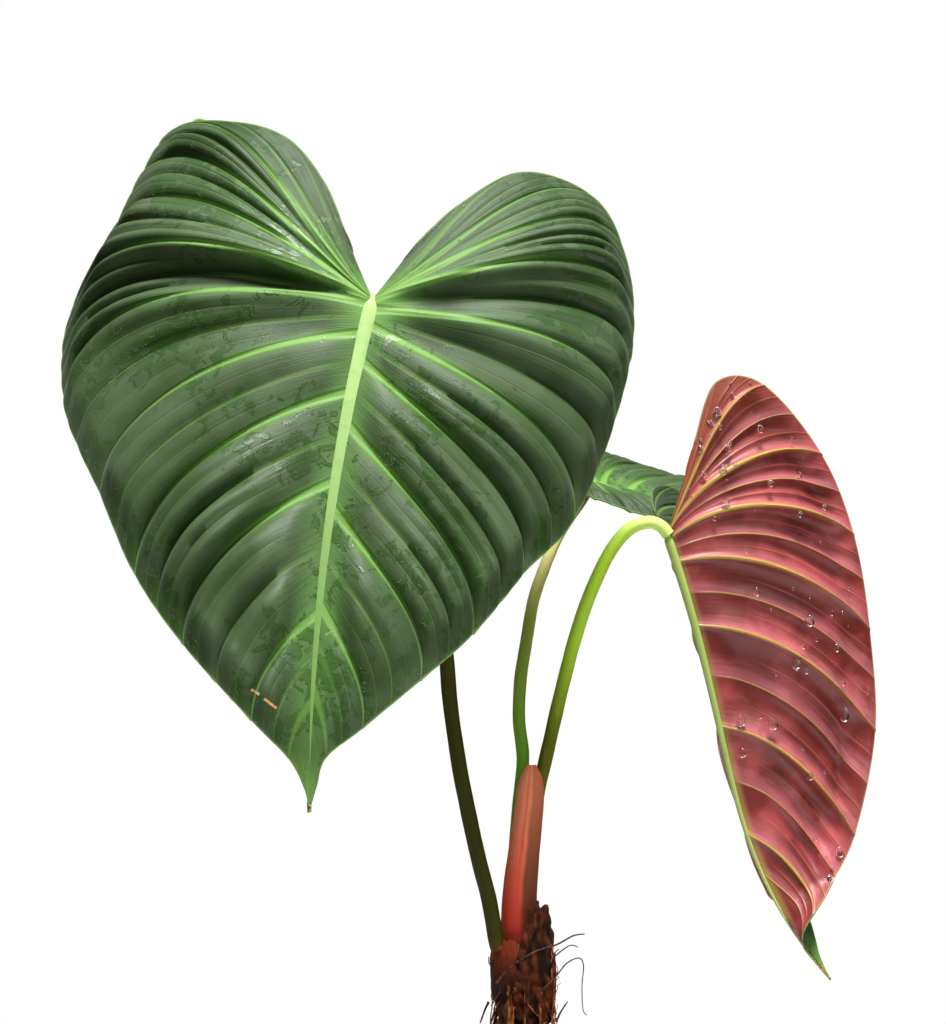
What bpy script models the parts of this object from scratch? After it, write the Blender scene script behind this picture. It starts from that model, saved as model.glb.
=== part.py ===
"""Potted philodendron at rest: a clay pot of bark mix, a short stem and three heart-shaped leaves on stalks.

Metres, +Z up, -Y the front, the origin at the centre of the pot's foot.
A leaf's own frame has its base at the origin, its tip down -Z and its upper face towards -Y.
"""

from collections import namedtuple
from math import cos, pi, radians, sin

import bmesh
import bpy
import numpy as np
from mathutils import Euler, Vector

MM = 0.001

# ---- driving dimensions ----
GAP = 0.3 * MM
POT_HEIGHT = 120 * MM
POT_RIM_RADIUS = 70 * MM
POT_FOOT_RADIUS = 48 * MM
POT_WALL = 5 * MM
POT_FLOOR = 8 * MM
POT_EDGE = 1.5 * MM
RIM_BAND = 24 * MM
RIM_STEP = 3 * MM
DRAIN_RADIUS = 4.5 * MM
DRAIN_FROM_MIDDLE = 24 * MM
DRAIN_HOLES = 4
POT_STEPS = 40

# The plant's heights are given for a pot of 120 mm, and the lift carries them to any other.
LIFT = POT_HEIGHT - 120 * MM

MIX_AT_WALL = POT_HEIGHT - 7 * MM
MIX_MOUND = POT_HEIGHT + 9 * MM

STEM_RADIUS = 10.5 * MM
STEM_TOP = 164 * MM + LIFT
STEM_FOOT = 92 * MM + LIFT
STALK_RADIUS = 2.7 * MM
FOOT_SWELL = 1.05
BLADE_THICKNESS = 1.0 * MM
SHEATH_THICKNESS = 1.1 * MM

# ---- leaves, in millimetres and degrees ----
# A vein leaves the midrib at a share of its length and ends on the margin. Its angles run from the tip's direction.
Vein = namedtuple("Vein", "share across along leaves arrives")
# The midrib has a length, bows aside, later or sooner along it, and hooks at its tip. Each half rises from it by its
# fold and turns further by the curl over each 100 mm. The lobes and the tip drop behind the plane of the base.
Leaf = namedtuple("Leaf", "base turn length bow bow_late hook folds curl lobe_drop tip_drop left right")

FRONT_LEFT_HALF = [
    Vein(0.00, 15, 29, 150, 158),
    Vein(0.00, 26, 50, 143, 158),
    Vein(0.00, 44, 70, 136, 136),
    Vein(0.00, 69, 78, 131, 112),
    Vein(0.00, 96, 78, 126, 76),
    Vein(0.00, 109, 58, 122, 58),
    Vein(0.00, 118, 34, 118, 48),
    Vein(0.00, 140, -4, 108, 28),
    Vein(0.01, 129, -41, 94, 2),
    Vein(0.07, 95, -85, 78, -5),
    Vein(0.19, 73, -118, 68, -10),
    Vein(0.37, 50, -144, 58, -14),
    Vein(0.63, 22, -170, 48, -12),
    Vein(0.80, 8, -182, 38, -6),
    Vein(0.93, 2, -192, 20, 0),
    Vein(1.00, 0, -200, 5, 5),
]
FRONT_RIGHT_HALF = [
    Vein(0.00, 14, 26, 150, 154),
    Vein(0.00, 29, 47, 142, 149),
    Vein(0.00, 52, 68, 133, 122),
    Vein(0.00, 83, 66, 127, 84),
    Vein(0.00, 101, 48, 121, 50),
    Vein(0.00, 111, 19, 114, 26),
    Vein(0.02, 110, -27, 90, 4),
    Vein(0.05, 98, -71, 66, 0),
    Vein(0.12, 78, -98, 50, 0),
    Vein(0.25, 59, -126, 43, -2),
    Vein(0.42, 40, -147, 40, -6),
    Vein(0.61, 19, -168, 36, -5),
    Vein(0.77, 6, -180, 28, -2),
    Vein(0.93, 2, -192, 15, 0),
    Vein(1.00, 0, -200, 5, 5),
]
NARROW_HALF = [
    Vein(0.00, 23, 32, 146, 147),
    Vein(0.00, 40, 51, 141, 142),
    Vein(0.00, 61, 43, 137, 80),
    Vein(0.00, 79, 8, 136, 55),
    Vein(0.01, 83, -28, 112, 42),
    Vein(0.06, 78, -67, 84, 30),
    Vein(0.20, 68, -107, 70, 20),
    Vein(0.42, 42, -143, 62, 12),
    Vein(0.66, 13, -165, 48, 8),
    Vein(0.84, 4, -179, 22, 2),
    Vein(1.00, 0, -192, 5, 5),
]
# The right leaf's far half has a shorter lobe.
FAR_HALF = [
    Vein(0.00, 17, 10, 130, 124),
    Vein(0.00, 38, 17, 124, 116),
    Vein(0.00, 61, 14, 120, 84),
    Vein(0.00, 78, -2, 116, 58),
] + NARROW_HALF[4:]
LEAVES = {
    "front": Leaf(
        base=(-58.5, -35, 420.5), turn=(-15, 7, 0), length=200, bow=-5, bow_late=0.9, hook=2,
        folds=(6, 6), curl=-42, lobe_drop=20, tip_drop=8, left=FRONT_LEFT_HALF, right=FRONT_RIGHT_HALF,
    ),
    "right": Leaf(
        base=(58.5, 5, 329), turn=(-15, 13, 137), length=192, bow=13, bow_late=1.9, hook=-3,
        folds=(38, 42), curl=60, lobe_drop=0, tip_drop=0, left=NARROW_HALF, right=FAR_HALF,
    ),
    "back": Leaf(
        base=(33.6, 130, 352.5), turn=(-73, -21, 94), length=86, bow=-2, bow_late=1, hook=0,
        folds=(14, 14), curl=-50, lobe_drop=8, tip_drop=10, left=NARROW_HALF, right=NARROW_HALF,
    ),
}
BLADE_ROWS_IN_LOBE = 11
BLADE_ROWS_BELOW = 12
BLADE_COLUMNS = 8

# ---- stalks: the line each one follows from the stem to its leaf, in millimetres ----
STALKS = {
    "front": [
        (-9.1, -5.4, 164.4), (-10.4, -5.4, 168), (-13.2, -5, 183.5), (-17.4, -5, 200), (-22.4, -5, 223), (-25.6, -5, 240),
        (-28.8, -5, 263), (-30.6, -6, 284), (-36.5, -8, 326), (-43.7, -14, 362), (-51.2, -22, 393),
        (-57.2, -31, 416.5),
    ],
    "right": [
        (2.4, 2.8, 164.4), (2.6, 3.2, 195), (6, 4.2, 222.5), (9.5, 4, 238.5), (13.1, 3.5, 254.5), (16.9, 3, 270.5),
        (21.1, 3, 286.5), (26.3, 3, 302.5), (33.4, 3, 318.5), (39.4, 3, 327.5), (45, 3, 332.3), (51.3, 3.5, 333.9),
        (56, 4, 332.2),
    ],
    "back": [
        (-3.1, 5.8, 164.4), (-3, 6, 195), (-1.4, 6.5, 218), (0.5, 8, 238), (-1, 12, 254), (-0.3, 18, 270),
        (2.3, 26, 285.5), (5.4, 38, 301.5), (9.7, 52, 313), (16, 80, 326), (23, 106, 336), (29, 122, 343.5), (32, 130.6, 348.4),
    ],
}

# ---- roots and dry fibres: a thickness and a line each, in millimetres ----
STRANDS = {
    "root_long": (
        0.35,
        [(-10.5, -16, 152), (-5, -16, 158.3), (4, -16, 164.2), (13.5, -14.5, 167.3), (20, -13, 170.5), (24.5, -12, 171)],
    ),
    "root_right": (0.45, [(13.5, -3, 134.5), (15.5, -2, 138.5), (18.2, -1, 142.3)]),
    "root_left": (0.5, [(-13.4, -3, 142.6), (-15, -3, 139), (-16.8, -4, 134.2)]),
    "root_back": (0.5, [(4, 12, 150), (7, 15, 142), (10, 17, 132.5)]),
    "fibre_curled": (
        0.3,
        [(15, -2, 154.5), (18, 0, 157.6), (22.8, 1, 159.4), (24.6, 1, 156.5), (24, 0, 148), (24.4, 0, 139), (26, 0, 136.8)],
    ),
    "fibre_short": (0.3, [(14.4, 6, 160), (19, 9, 163), (23, 12, 162)]),
}

# ---- bark chips: place, turn about the vertical and size, in millimetres and degrees ----
CHIPS = [
    ((20, -20, 131.5), 20, (17, 11, 4)),
    ((-24, -16, 131.5), 75, (15, 10, 4)),
    ((-26, 16, 131), 130, (19, 12, 5)),
    ((24, 22, 131), 40, (16, 12, 4)),
    ((0, 36, 130), 95, (20, 11, 5)),
    ((2, -38, 129.5), 10, (18, 12, 4)),
    ((46, -2, 128.3), 60, (17, 11, 4)),
    ((-47, -4, 128.3), 150, (16, 11, 4)),
]


def clear_scene():
    for old in list(bpy.data.objects):
        bpy.data.objects.remove(old)


def collection(name, is_cutter=False):
    made = bpy.data.collections.new(name)
    made.hide_render = is_cutter
    bpy.context.scene.collection.children.link(made)
    return made


def material(name, colour, roughness, metallic=0.0):
    made = bpy.data.materials.new(name)
    made.use_nodes = True
    surface = made.node_tree.nodes["Principled BSDF"]
    surface.inputs["Base Color"].default_value = (*colour, 1)
    surface.inputs["Roughness"].default_value = roughness
    surface.inputs["Metallic"].default_value = metallic
    return made


def add(name, data, finish, into):
    made = bpy.data.objects.new(name, data)
    data.materials.append(finish)
    into.objects.link(made)
    return made


def cut(target, cutter):
    cutter.display_type = "WIRE"
    cutter.hide_render = True
    difference = target.modifiers.new("cut " + cutter.name, "BOOLEAN")
    difference.operation = "DIFFERENCE"
    difference.solver = "EXACT"
    difference.object = cutter


def turned(name, profile, finish, into, steps=POT_STEPS):
    """A profile of radius and height, from axis to axis, turned about the vertical."""
    mesh = bpy.data.meshes.new(name)
    line = [(index, index + 1) for index in range(len(profile) - 1)]
    mesh.from_pydata([(radius, 0, height) for radius, height in profile], line, [])
    made = add(name, mesh, finish, into)
    screw = made.modifiers.new("turn", "SCREW")
    screw.axis = "Z"
    screw.steps = steps
    screw.render_steps = steps
    screw.use_merge_vertices = True
    screw.merge_threshold = 0.00001
    return made


def cylinder(name, radius, depth, place, into, finish, steps=32):
    shape = bmesh.new()
    bmesh.ops.create_cone(
        shape, cap_ends=True, segments=steps, radius1=radius, radius2=radius, depth=depth
    )
    mesh = bpy.data.meshes.new(name)
    shape.to_mesh(mesh)
    shape.free()
    made = add(name, mesh, finish, into)
    made.location = place
    return made


def strand(name, line, radius, finish, into, roundness=2, steps=2, foot_swell=1.0):
    """A round strand along a smooth line through points in millimetres, thicker at its foot by the swell."""
    curve = bpy.data.curves.new(name, "CURVE")
    curve.dimensions = "3D"
    curve.bevel_depth = radius
    curve.bevel_resolution = roundness
    curve.use_fill_caps = True
    curve.render_resolution_u = 0
    spline = curve.splines.new("POLY")
    count = steps * (len(line) - 1) + 1
    spline.points.add(count - 1)
    places = through(line, np.linspace(0, len(line) - 1, count))
    for point, place, share in zip(spline.points, places, np.linspace(0, 1, count)):
        point.co = (*(place * MM + (0, 0, LIFT)), 1)
        point.radius = 1 + (foot_swell - 1) * max(0.0, 1 - 4 * share)
    return add(name, curve, finish, into)


def sheet(name, columns, rows, place, thickness, finish, into, merge=False):
    """A grid put in place by a function of its two shares, then thickened to a closed body."""
    shape = bmesh.new()
    bmesh.ops.create_grid(shape, x_segments=columns, y_segments=rows, size=0.5)
    for vertex in shape.verts:
        vertex.co = place(vertex.co.x + 0.5, vertex.co.y + 0.5)
    if merge:
        bmesh.ops.remove_doubles(shape, verts=shape.verts, dist=0.00005)
    mesh = bpy.data.meshes.new(name)
    shape.to_mesh(mesh)
    shape.free()
    made = add(name, mesh, finish, into)
    solidify = made.modifiers.new("thickness", "SOLIDIFY")
    solidify.thickness = thickness
    solidify.offset = 0
    return made


def through(rows, at):
    """A smooth curve through the rows, at a count of rows along it."""
    rows = np.asarray(rows, float)
    at = np.clip(at, 0, len(rows) - 1)
    step = np.minimum(at.astype(int), len(rows) - 2)
    part = (at - step)[..., None]
    before, here = rows[np.maximum(step - 1, 0)], rows[step]
    after, beyond = rows[step + 1], rows[np.minimum(step + 2, len(rows) - 1)]
    return 0.5 * (
        2 * here
        + (after - before) * part
        + (2 * before - 5 * here + 4 * after - beyond) * part**2
        + (3 * here - before - 3 * after + beyond) * part**3
    )


def midrib_aside(leaf, along):
    """How far the midrib stands to the side at a place along the leaf."""
    share = np.clip(-along / leaf.length, 0, 1)
    return leaf.bow * np.sin(pi * share**leaf.bow_late) + leaf.hook * share**6


def flat_point(leaf, side, row, share):
    """Across and along with the blade laid flat: each vein is a curve that bends from the rib to the margin."""
    sign = (-1, 1)[side]
    veins = (leaf.left, leaf.right)[side]
    vein = through(veins, row)
    along = -np.interp(row, range(len(veins)), [one.share for one in veins]) * leaf.length
    start = np.stack([midrib_aside(leaf, along), along], -1)
    end = np.stack([sign * vein[..., 1] + midrib_aside(leaf, vein[..., 2]), vein[..., 2]], -1)
    reach = np.linalg.norm(end - start, axis=-1, keepdims=True)
    leaves, arrives = np.radians(vein[..., 3]), np.radians(vein[..., 4])
    out = start + 0.36 * reach * np.stack([sign * np.sin(leaves), -np.cos(leaves)], -1)
    back = end - 0.30 * reach * np.stack([sign * np.sin(arrives), -np.cos(arrives)], -1)
    s = np.asarray(share)[..., None]
    return start * (1 - s) ** 3 + 3 * out * s * (1 - s) ** 2 + 3 * back * s**2 * (1 - s) + end * s**3


def shaped(leaf, side, flat):
    """The flat blade folded at the midrib, curled across and bent along, in the leaf's own frame."""
    sign = (-1, 1)[side]
    along = flat[..., 1]
    middle = midrib_aside(leaf, along)
    across = np.abs(flat[..., 0] - middle)
    tip = np.clip((-along / leaf.length - 0.75) / 0.25, 0, 1.2)
    fold, turn = np.radians(leaf.folds[side]), np.radians(leaf.curl) / 100
    aside = (np.sin(fold + turn * across) - np.sin(fold)) / turn
    rise = (np.cos(fold) - np.cos(fold + turn * across)) / turn
    rise = rise - leaf.lobe_drop * (np.clip(along, 0, None) / 80) ** 1.7 - leaf.tip_drop * tip**2
    return np.stack([middle + sign * aside, -rise, along], -1)


def blade_rows(veins):
    """Where the rows of a half blade run: a fan over the lobe, then shares of the midrib that both halves have."""
    starts = [vein.share for vein in veins]
    last_in_lobe = max(index for index, share in enumerate(starts) if share == 0)
    lobe = np.linspace(0, last_in_lobe, BLADE_ROWS_IN_LOBE, endpoint=False)
    shares = np.linspace(0, 1, BLADE_ROWS_BELOW + 1) ** 1.15
    below = np.interp(shares, starts[last_in_lobe:], range(last_in_lobe, len(veins)))
    return np.concatenate([lobe, below])


def leaf_blade(name, leaf, finish, into):
    """Both halves on one grid: its columns run from the left margin through the midrib to the right one."""
    halves = []
    shares = np.linspace(0, 1, BLADE_COLUMNS + 1)
    for side, veins in enumerate((leaf.left, leaf.right)):
        row, share = np.meshgrid(blade_rows(veins), shares, indexing="ij")
        halves.append(shaped(leaf, side, flat_point(leaf, side, row, share)))
    places = np.concatenate([halves[0][:, :0:-1], halves[1]], axis=1) * MM
    last_row, last_column = places.shape[0] - 1, places.shape[1] - 1

    def place(across, along):
        return places[round(along * last_row), round(across * last_column)]

    made = sheet(name, last_column, last_row, place, BLADE_THICKNESS, finish, into, merge=True)
    made.location = Vector(leaf.base) * MM + Vector((0, 0, LIFT))
    made.rotation_euler = [radians(angle) for angle in leaf.turn]
    return made


def wrap(name, finish, into, start, stop, low, high, shape):
    """A sheet that wraps round a standing line; shape gives its middle, half width and half depth at a height."""
    def place(across, along):
        middle_x, middle_y, wide, deep, top = shape(along)
        angle = radians(start + (stop - start) * (0.5 + (across - 0.5) * top))
        height = low + (high - low) * along + LIFT
        return (middle_x + wide * sin(angle), middle_y - deep * cos(angle), height)

    return sheet(name, 10, 9, place, SHEATH_THICKNESS, finish, into)


def scaled_half(veins, scale):
    """The same half blade for a leaf of another size."""
    return [Vein(one.share, one.across * scale, one.along * scale, one.leaves, one.arrives) for one in veins]


clear_scene()
plant = collection("potted_philodendron")
cutters = collection("cutters", is_cutter=True)

CLAY = material("clay", (0.50, 0.22, 0.12), 0.85)
MIX = material("bark_mix", (0.060, 0.038, 0.024), 0.95)
CHIP = material("bark_chip", (0.13, 0.075, 0.045), 0.9)
MOSS = material("moss", (0.16, 0.17, 0.05), 0.95)
STEM = material("stem_bark", (0.10, 0.062, 0.035), 0.85)
ROOT = material("root", (0.035, 0.022, 0.014), 0.85)
HUSK = material("dry_husk", (0.045, 0.020, 0.010), 0.8)
SHEATH = material("red_sheath", (0.36, 0.11, 0.055), 0.5)
LEAF_GREEN = material("leaf_green", (0.10, 0.17, 0.07), 0.45)
LEAF_RED = material("leaf_red_underside", (0.30, 0.065, 0.055), 0.4)
DARK_STALK = material("dark_stalk", (0.05, 0.042, 0.012), 0.45)
GREEN_STALK = material("green_stalk", (0.22, 0.36, 0.07), 0.4)
CUTTER = material("cutter", (0.8, 0.1, 0.1), 0.5)

# ---- pot ----
band_bottom = POT_HEIGHT - RIM_BAND
slope = (POT_RIM_RADIUS - RIM_STEP - POT_FOOT_RADIUS) / band_bottom
inner_foot = POT_FOOT_RADIUS - POT_WALL
inner_top = POT_RIM_RADIUS - POT_WALL


def inner_radius(height):
    """The pot's inside at a height."""
    return inner_foot + (inner_top - inner_foot) * (height - POT_FLOOR) / (POT_HEIGHT - POT_FLOOR)


pot = turned(
    "pot",
    [
        (0, POT_FLOOR),
        (inner_foot - 2 * MM, POT_FLOOR),
        (inner_radius(POT_FLOOR + 2 * MM), POT_FLOOR + 2 * MM),
        (inner_radius(POT_HEIGHT - POT_EDGE), POT_HEIGHT - POT_EDGE),
        (inner_top + POT_EDGE, POT_HEIGHT),
        (POT_RIM_RADIUS - POT_EDGE, POT_HEIGHT),
        (POT_RIM_RADIUS, POT_HEIGHT - POT_EDGE),
        (POT_RIM_RADIUS - 1 * MM, band_bottom + POT_EDGE),
        (POT_RIM_RADIUS - 1 * MM - POT_EDGE, band_bottom),
        (POT_RIM_RADIUS - RIM_STEP, band_bottom - 1 * MM),
        (POT_FOOT_RADIUS + slope * POT_EDGE, POT_EDGE),
        (POT_FOOT_RADIUS - POT_EDGE, 0),
        (0, 0),
    ],
    CLAY,
    plant,
)
for hole in range(DRAIN_HOLES):
    bearing = 2 * pi * (hole + 0.5) / DRAIN_HOLES
    place = (DRAIN_FROM_MIDDLE * cos(bearing), DRAIN_FROM_MIDDLE * sin(bearing), POT_FLOOR / 2)
    cut(pot, cylinder(f"drain_cutter_{hole + 1}", DRAIN_RADIUS, 3 * POT_FLOOR, place, cutters, CUTTER, steps=20))

# ---- mix, with a socket for the stem's foot ----
mix = turned(
    "potting_mix",
    [
        (0, MIX_MOUND),
        (22 * MM, MIX_MOUND - 0.5 * MM),
        (42 * MM, MIX_MOUND - 5 * MM),
        (inner_radius(MIX_AT_WALL) - GAP, MIX_AT_WALL),
        (inner_radius(POT_FLOOR + 2 * MM) - GAP, POT_FLOOR + 2 * MM),
        (inner_foot - 2 * MM - GAP, POT_FLOOR + GAP),
        (0, POT_FLOOR + GAP),
    ],
    MIX,
    plant,
)
socket = (0, 0, (STEM_FOOT + STEM_TOP) / 2 - GAP)
cut(mix, cylinder("stem_socket_cutter", STEM_RADIUS + GAP, STEM_TOP - STEM_FOOT, socket, cutters, CUTTER))

# ---- stem: a short trunk with leaf scars ----
scar = 1.1 * MM
stem = turned(
    "stem",
    [
        (0, STEM_TOP),
        (STEM_RADIUS - 2 * MM, STEM_TOP),
        (STEM_RADIUS - 0.5 * MM, STEM_TOP - 2 * MM),
        (STEM_RADIUS, STEM_TOP - 9 * MM),
        (STEM_RADIUS - scar, STEM_TOP - 12 * MM),
        (STEM_RADIUS, STEM_TOP - 15 * MM),
        (STEM_RADIUS, STEM_TOP - 24 * MM),
        (STEM_RADIUS - scar, STEM_TOP - 26 * MM),
        (STEM_RADIUS, STEM_TOP - 28 * MM),
        (STEM_RADIUS, STEM_FOOT + 4 * MM),
        (STEM_RADIUS - 5 * MM, STEM_FOOT),
        (0, STEM_FOOT),
    ],
    STEM,
    plant,
    steps=28,
)

# ---- stalks and leaves ----
for key, finish in (("front", DARK_STALK), ("right", GREEN_STALK), ("back", GREEN_STALK)):
    strand(f"{key}_stalk", STALKS[key], STALK_RADIUS, finish, plant, foot_swell=FOOT_SWELL)

small = scaled_half(NARROW_HALF, LEAVES["back"].length / LEAVES["right"].length)
LEAVES["back"] = LEAVES["back"]._replace(left=small, right=small)
for key, finish in (("front", LEAF_GREEN), ("right", LEAF_RED), ("back", LEAF_GREEN)):
    leaf_blade(f"{key}_leaf", LEAVES[key], finish, plant)


# ---- sheaths ----
def fresh_sheath(along):
    """Narrows to a point at its top and leans a little to the right."""
    point = max(0.0, (along - 0.72) / 0.28)
    lean = min(1.0, max(0.0, (along - 0.25) / 0.6))
    wide = (7.6 - 1.6 * along) * (1 - 0.86 * point**1.6)
    aside = 4.2 * lean**2 * (3 - 2 * lean) - 0.8
    return aside * MM, 1.2 * MM, wide * MM, 6.4 * MM, 1 - 0.75 * point**2


def left_sheath(along):
    """Bulges off the stem round the foot of the front stalk."""
    out = 11.8 + 3.9 * along**2
    return 0, 0, out * MM, out * MM, 1 - 0.35 * along**3


def right_husk(along):
    """Stands close to the stem and leans out at its top."""
    out = 11.8 + 1.4 * along**2
    return 0, 0, out * MM, out * MM, 1 - 0.45 * along**3


wrap("fresh_sheath", SHEATH, plant, -94, 90, 164.4 * MM, 237 * MM, fresh_sheath)
wrap("left_sheath", SHEATH, plant, -98, 12, 143 * MM, 168 * MM, left_sheath)
wrap("right_husk", HUSK, plant, 18, 116, 134 * MM, 180 * MM, right_husk)

# ---- roots and fibres ----
for name, (radius, line) in STRANDS.items():
    strand(name, line, radius * MM, ROOT, plant, roundness=1)


# ---- loose bark on the mix ----
def chip(name, place, turn, size, finish, seed):
    """A flake of bark: a cube squashed to size with its corners worn."""
    shape = bmesh.new()
    bmesh.ops.create_cube(shape, size=1)
    for index, vertex in enumerate(shape.verts):
        wear = 1 - 0.22 * abs(sin(seed * 2.3 + index * 1.9))
        vertex.co = (vertex.co.x * size[0] * wear, vertex.co.y * size[1] * wear, vertex.co.z * size[2])
    bmesh.ops.bevel(shape, geom=shape.edges, offset=0.9, segments=1, affect="EDGES")
    bmesh.ops.scale(shape, vec=(MM, MM, MM), verts=shape.verts)
    mesh = bpy.data.meshes.new(name)
    shape.to_mesh(mesh)
    shape.free()
    made = add(name, mesh, finish, plant)
    made.location = Vector(place) * MM + Vector((0, 0, LIFT))
    made.rotation_euler = Euler((0, 0, radians(turn)))
    return made


for index, (place, turn, size) in enumerate(CHIPS):
    chip(f"bark_chip_{index + 1}", place, turn, size, CHIP, index)
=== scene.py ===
"""Potted philodendron: a clay pot of bark mix, a short sheathed stem and three heart-shaped leaves on stalks.

Metres, +Z up, -Y the front. A leaf's own frame has its base at the origin, its tip down -Z and its upper face
towards -Y. Leaf sizes are in millimetres there, and the blade is laid out flat before it is folded and curled.
"""

import random
from collections import namedtuple
from math import atan2, cos, pi, radians, sin

import bpy
import numpy as np
from mathutils import Euler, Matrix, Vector, noise


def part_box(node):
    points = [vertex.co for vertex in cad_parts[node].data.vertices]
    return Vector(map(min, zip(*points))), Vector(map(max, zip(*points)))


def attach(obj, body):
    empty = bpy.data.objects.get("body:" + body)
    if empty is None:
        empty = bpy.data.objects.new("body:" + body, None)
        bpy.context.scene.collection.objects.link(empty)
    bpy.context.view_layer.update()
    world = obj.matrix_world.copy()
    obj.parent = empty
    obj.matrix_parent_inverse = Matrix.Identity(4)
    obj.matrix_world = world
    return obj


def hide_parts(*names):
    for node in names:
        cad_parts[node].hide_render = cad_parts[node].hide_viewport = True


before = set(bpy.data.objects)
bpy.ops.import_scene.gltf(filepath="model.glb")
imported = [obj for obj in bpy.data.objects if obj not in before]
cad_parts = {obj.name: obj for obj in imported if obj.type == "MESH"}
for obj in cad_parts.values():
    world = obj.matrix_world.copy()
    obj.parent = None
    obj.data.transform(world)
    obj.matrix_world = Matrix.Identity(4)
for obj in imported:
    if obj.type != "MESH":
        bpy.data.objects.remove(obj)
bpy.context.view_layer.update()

MM = 0.001
SAME_PLACE = 0.000001


# ======== Finishes: shader maths ========
class Amount:
    """A node's output. The operators on it add Math nodes."""

    def __init__(self, finish, socket):
        self.finish = finish
        self.socket = socket

    def __add__(self, other):
        return self.finish.maths("ADD", self, other)

    def __sub__(self, other):
        return self.finish.maths("SUBTRACT", self, other)

    def __rsub__(self, other):
        return self.finish.maths("SUBTRACT", other, self)

    def __mul__(self, other):
        return self.finish.maths("MULTIPLY", self, other)

    def __truediv__(self, other):
        return self.finish.maths("DIVIDE", self, other)

    __radd__ = __add__
    __rmul__ = __mul__


class Finish:
    """A material, its Principled surface and the nodes that feed it."""

    def __init__(self, name, **constants):
        self.material = bpy.data.materials.new(name)
        self.material.use_nodes = True
        self.tree = self.material.node_tree
        self.surface = self.tree.nodes["Principled BSDF"]
        for name, value in constants.items():
            self.surface.inputs[name.replace("_", " ")].default_value = value

    def node(self, kind, settings=None, sockets=None, out=0):
        """Any node: its settings come first, then a value or a link for each socket."""
        made = self.tree.nodes.new(kind)
        for name, value in (settings or {}).items():
            if name == "stops":
                self.set_stops(made.color_ramp, value)
            else:
                setattr(made, name, value)
        for name, value in (sockets or {}).items():
            self.feed(made.inputs[name], value)
        return Amount(self, made.outputs[out])

    def feed(self, socket, value):
        if isinstance(value, Amount):
            self.tree.links.new(value.socket, socket)
        else:
            socket.default_value = value

    @staticmethod
    def set_stops(ramp, stops):
        while len(ramp.elements) < len(stops):
            ramp.elements.new(0.5)
        for element, (place, colour) in zip(ramp.elements, stops):
            element.position = place
            element.color = (*colour, 1)

    def maths(self, operation, first, second=0.0):
        return self.node("ShaderNodeMath", {"operation": operation}, {0: first, 1: second})

    def vector(self, operation, first, second=(0, 0, 0), out="Vector"):
        return self.node("ShaderNodeVectorMath", {"operation": operation}, {0: first, 1: second}, out)

    def attribute(self, name):
        return self.node("ShaderNodeAttribute", {"attribute_name": name}, out="Fac")

    def place(self, scale=(1, 1, 1), turn=(0, 0, 0)):
        """Object coordinates in millimetres, scaled and turned."""
        here = self.node("ShaderNodeTexCoord", out="Object")
        size = tuple(1000 * part for part in scale)
        return self.node("ShaderNodeMapping", None, {"Vector": here, "Scale": size, "Rotation": turn})

    def joined(self, x, y, z=0.0):
        return self.node("ShaderNodeCombineXYZ", None, {"X": x, "Y": y, "Z": z})

    def cloud(self, vector, size, detail=4.0, rough=0.55, warp=0.0):
        """Noise whose spots are about size across in the vector's own unit."""
        sockets = {"Vector": vector, "Scale": 1 / size, "Detail": detail, "Roughness": rough, "Distortion": warp}
        return self.node("ShaderNodeTexNoise", None, sockets)

    def step(self, value, low, high, to_low=0.0, to_high=1.0):
        """A soft step as the value goes from low to high."""
        sockets = {"Value": value, "From Min": low, "From Max": high, "To Min": to_low, "To Max": to_high}
        return self.node("ShaderNodeMapRange", {"interpolation_type": "SMOOTHSTEP"}, sockets)

    def mix(self, first, second, share):
        sockets = {0: share, 6: self.colour(first), 7: self.colour(second)}
        return self.node("ShaderNodeMix", {"data_type": "RGBA"}, sockets, out=2)

    @staticmethod
    def colour(value):
        return value if isinstance(value, Amount) else (*value, 1)

    def nearest_line(self, value):
        """How far a count is from the nearest whole number."""
        return self.maths("ABSOLUTE", self.maths("FRACT", value + 0.5) - 0.5)

    def bump(self, height, strength=1.0, distance=MM):
        return self.node("ShaderNodeBump", None, {"Height": height, "Strength": strength, "Distance": distance})

    def wears(self, **feeds):
        """Links what changes over the surface."""
        for name, value in feeds.items():
            self.feed(self.surface.inputs[name.replace("_", " ")], value)
        return self.material


def paint(red, green, blue):
    """A colour as it is seen, from 0 to 255, as the shader's linear light."""
    seen = [part / 255 for part in (red, green, blue)]
    return tuple(part / 12.92 if part <= 0.04045 else ((part + 0.055) / 1.055) ** 2.4 for part in seen)


# ======== Leaf patterns ========
# A vein leaves the midrib at a share of its length and ends on the margin. Angles run from the tip's direction.
# Strong is how plainly it shows, lift how far it stands forward and ledge how deep the blade drops just below it.
# Bow and hook move the midrib aside, folds and curl raise the halves, and pleat is how far they swell between veins.
Vein = namedtuple("Vein", "share across along leaves arrives strong lift ledge", defaults=(1, 0, 0))
Leaf = namedtuple(
    "Leaf",
    "base turn length bow bow_late hook folds curl lobe_drop tip_drop tip_twist"
    " pleat edge_relief ridge rib_width left right",
)

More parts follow.
